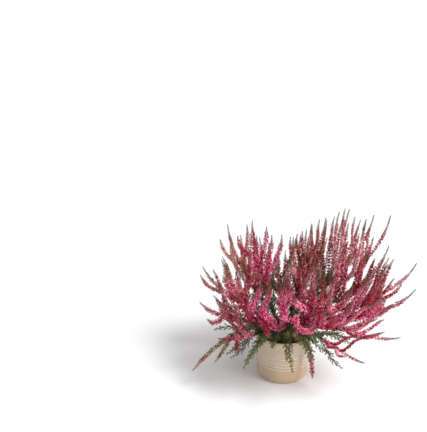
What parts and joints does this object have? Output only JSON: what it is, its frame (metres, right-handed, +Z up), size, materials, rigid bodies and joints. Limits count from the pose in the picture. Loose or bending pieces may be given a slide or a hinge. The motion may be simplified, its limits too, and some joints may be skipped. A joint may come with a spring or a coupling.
{
  "type": "potted heather",
  "caption": "Crimson bud heather in a small plastic nursery pot with a rounded foot: upright and arching leafy stems that end in slender flower spikes.",
  "frame": {"origin": "centre of the pot's flat underside", "axes": "+Z up, +X and +Y level, with the tallest and widest sprays on the +X side"},
  "size_m": [0.4229, 0.3557, 0.3334],
  "materials": {
    "pot": "satin taupe plastic",
    "soil": "rough, moist peat",
    "foliage": "matte dark green leaves",
    "flowers": "matte crimson buds"
  },
  "bodies": {
    "root": {"pot": "pot", "soil": "soil", "leafy_stem_01": "foliage", "leafy_stem_02": "foliage", "leafy_stem_03": "foliage", "leafy_stem_04": "foliage", "leafy_stem_05": "foliage", "leafy_stem_06": "foliage", "leafy_stem_07": "foliage", "leafy_stem_08": "foliage", "leafy_stem_09": "foliage", "leafy_stem_10": "foliage", "leafy_stem_11": "foliage", "leafy_stem_12": "foliage", "leafy_stem_13": "foliage", "leafy_stem_14": "foliage", "leafy_stem_15": "foliage", "leafy_stem_16": "foliage", "leafy_stem_17": "foliage", "leafy_stem_18": "foliage", "leafy_stem_19": "foliage", "leafy_stem_20": "foliage", "leafy_stem_21": "foliage", "leafy_stem_22": "foliage", "leafy_stem_23": "foliage", "leafy_stem_24": "foliage", "leafy_stem_25": "foliage", "leafy_stem_26": "foliage", "leafy_stem_27": "foliage", "leafy_stem_28": "foliage", "leafy_stem_29": "foliage", "flower_spikes_01": "flowers", "flower_spikes_02": "flowers", "flower_spikes_03": "flowers", "flower_spikes_04": "flowers", "flower_spikes_05": "flowers", "flower_spikes_06": "flowers", "flower_spikes_07": "flowers", "flower_spikes_08": "flowers", "flower_spikes_09": "flowers", "flower_spikes_10": "flowers", "flower_spikes_11": "flowers", "flower_spikes_12": "flowers", "flower_spikes_13": "flowers", "flower_spikes_14": "flowers", "flower_spikes_15": "flowers", "flower_spikes_16": "flowers", "flower_spikes_17": "flowers", "flower_spikes_18": "flowers", "flower_spikes_19": "flowers", "flower_spikes_20": "flowers", "flower_spikes_21": "flowers", "flower_spikes_22": "flowers", "flower_spikes_23": "flowers", "flower_spikes_24": "flowers", "flower_spikes_25": "flowers", "flower_spikes_26": "flowers", "flower_spikes_27": "flowers", "flower_spikes_28": "flowers", "flower_spikes_29": "flowers"}
  },
  "joints": []
}
